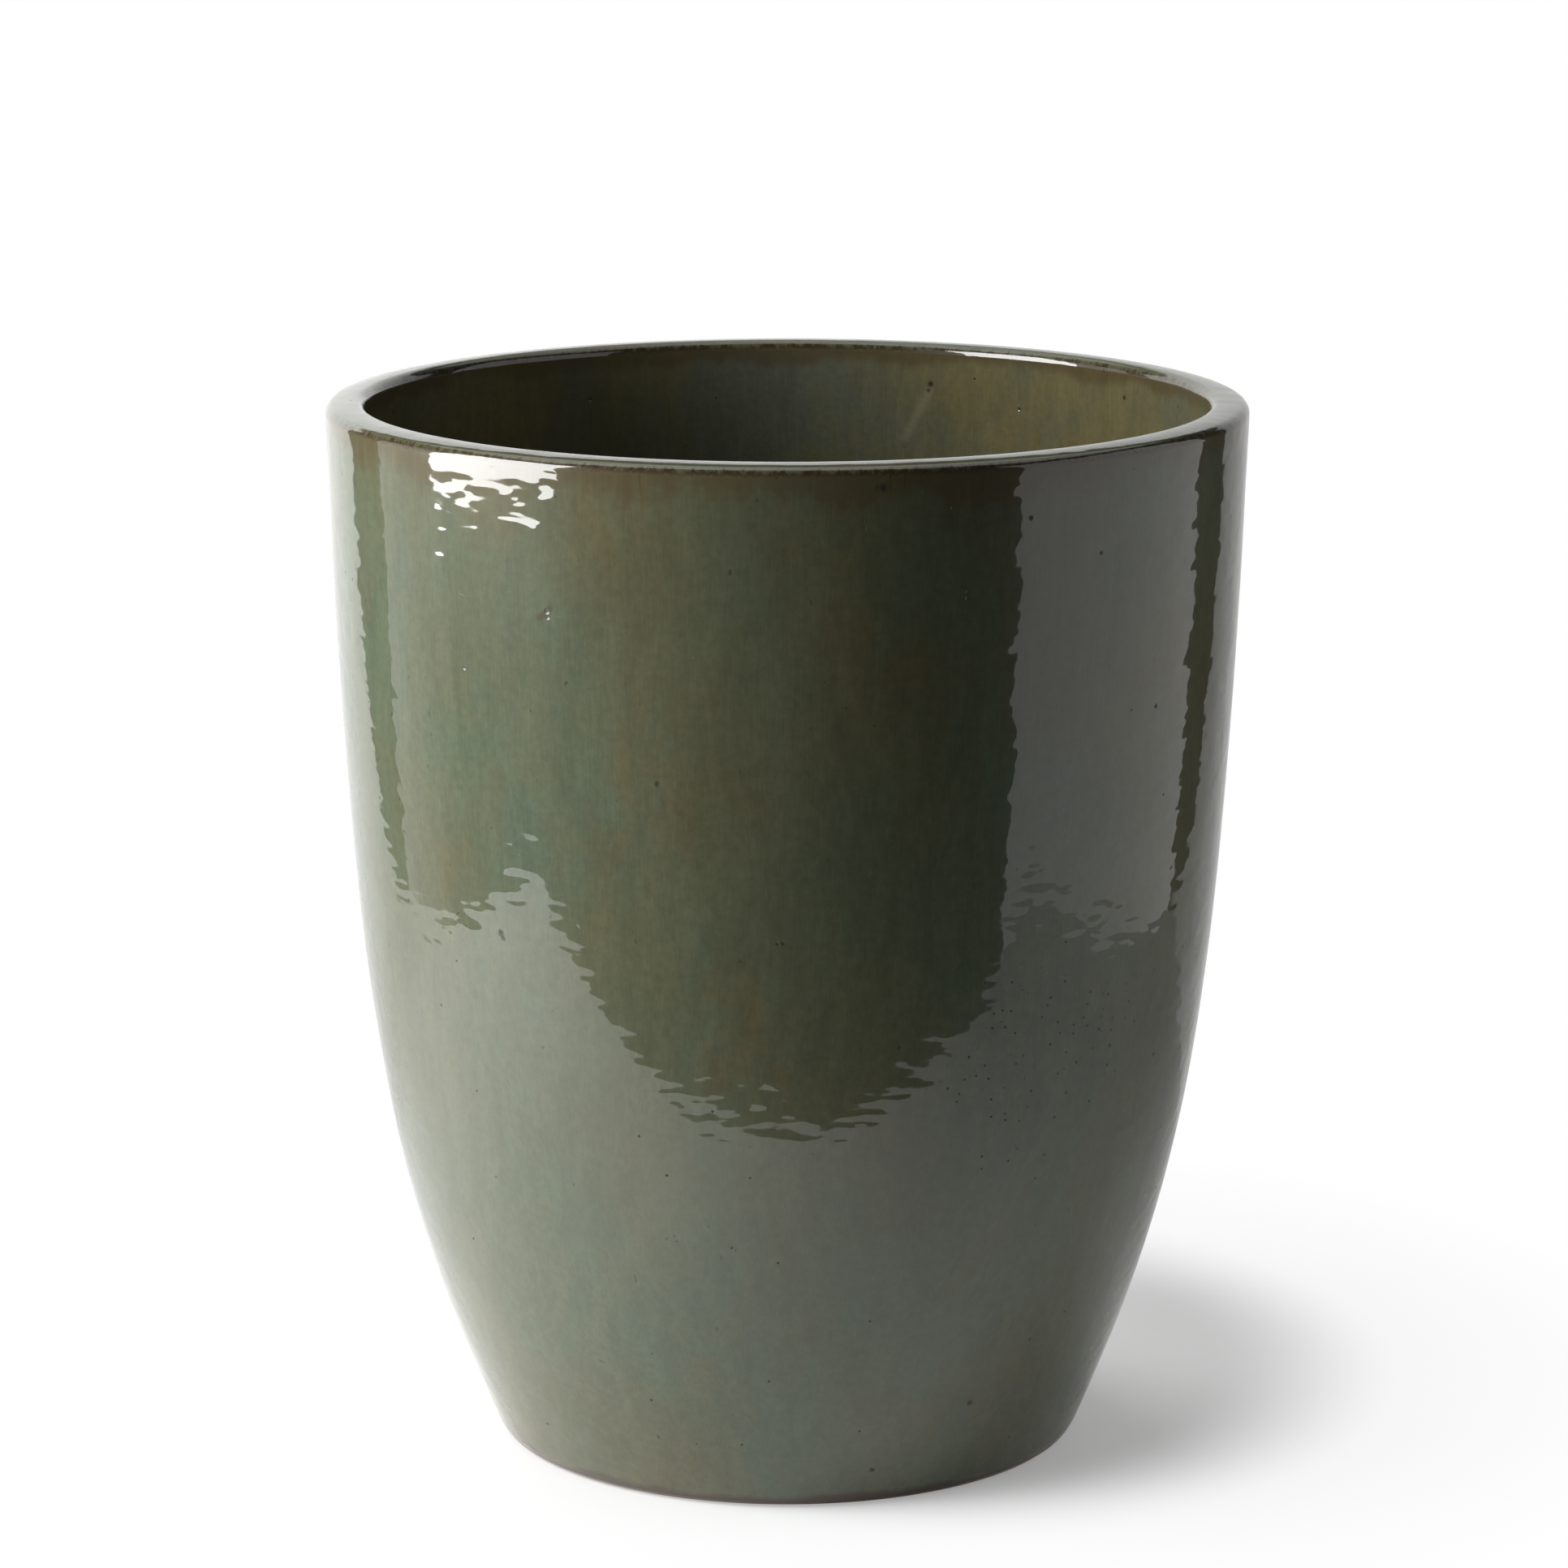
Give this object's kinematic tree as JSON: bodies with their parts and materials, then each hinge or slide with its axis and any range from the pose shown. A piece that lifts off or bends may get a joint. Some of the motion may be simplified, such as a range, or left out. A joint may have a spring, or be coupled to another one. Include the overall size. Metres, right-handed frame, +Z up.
{
  "type": "glazed terracotta planter",
  "caption": "Tall round terracotta planter with a thick rounded lip, a tapered glazed body, a foot ring and a drain hole closed by a pull-out rubber stopper.",
  "frame": {"origin": "on the floor under the foot ring, on the pot's axis of revolution", "axes": "+Z up along the pot's axis; the pot is round, so +X and +Y are any two level directions"},
  "size_m": [0.3999, 0.4, 0.462],
  "materials": {
    "fired_clay": "matte",
    "outer_glaze": "gloss",
    "inner_glaze": "gloss",
    "black_rubber": "matte"
  },
  "bodies": {
    "pot": {"clay_body": "fired_clay", "outer_glaze": "outer_glaze", "inner_glaze": "inner_glaze"},
    "stopper": {"drain_stopper": "black_rubber"}
  },
  "joints": [
    {"name": "stopper_pull", "type": "slide", "parent": "pot", "child": "stopper", "axis": [0, 0, 1], "range_m": [0, 0.48]}
  ]
}
